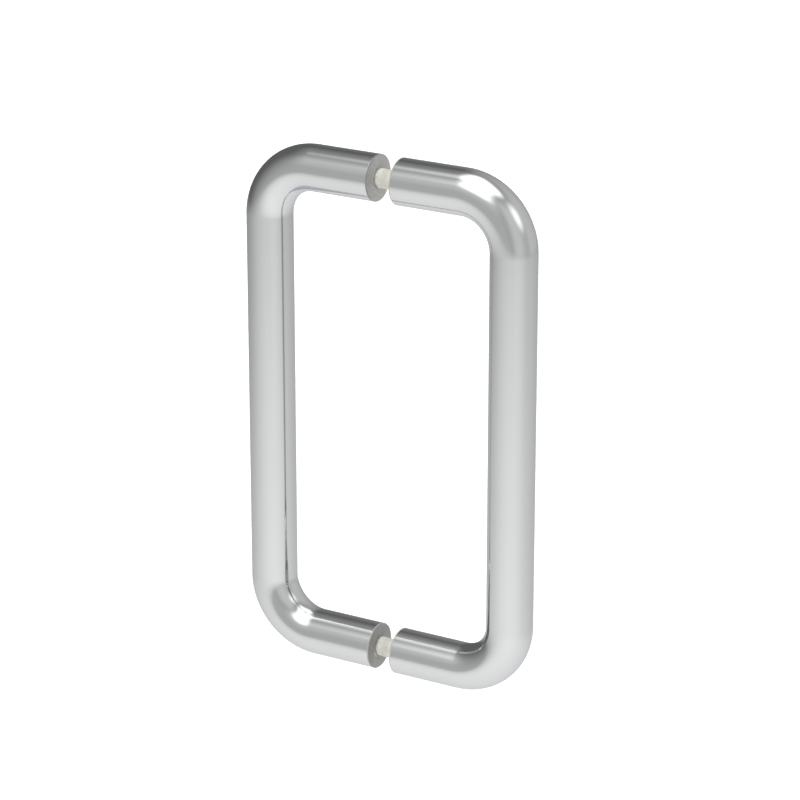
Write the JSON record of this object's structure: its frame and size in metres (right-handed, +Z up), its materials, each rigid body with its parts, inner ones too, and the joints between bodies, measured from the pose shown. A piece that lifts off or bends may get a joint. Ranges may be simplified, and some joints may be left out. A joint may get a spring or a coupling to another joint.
{
  "type": "back-to-back bridge pull handle",
  "caption": "Pair of bridge-shaped round bar pull handles, joined back to back through a glass door by bushed studs with soft washers, for pulling the door from either side.",
  "frame": {"origin": "middle of the glass, midway between the two fixings, which is also the centre of the overall box", "axes": "+X through the door from the outside handle to the inside handle, along the studs; +Y along the face of the glass; +Z up, along the grips, from the lower fixing to the upper one"},
  "size_m": [0.1304, 0.019, 0.219],
  "materials": {
    "chrome_plate": "bright chrome plate on polished solid brass bar",
    "clear_vinyl": "translucent soft vinyl, slightly mottled",
    "natural_nylon": "natural cream nylon, translucent, satin",
    "zinc_plated_steel": "bright zinc plate on steel",
    "black_steel": "black oxide on hardened steel, lightly oiled"
  },
  "bodies": {
    "root": {"outside_handle": "chrome_plate", "inside_handle": "chrome_plate", "outside_washer_top": "clear_vinyl", "inside_washer_top": "clear_vinyl", "outside_washer_bottom": "clear_vinyl", "inside_washer_bottom": "clear_vinyl", "bush_top": "natural_nylon", "bush_bottom": "natural_nylon", "stud_top": "zinc_plated_steel", "stud_bottom": "zinc_plated_steel", "set_screw_top": "black_steel", "set_screw_bottom": "black_steel"}
  },
  "joints": []
}
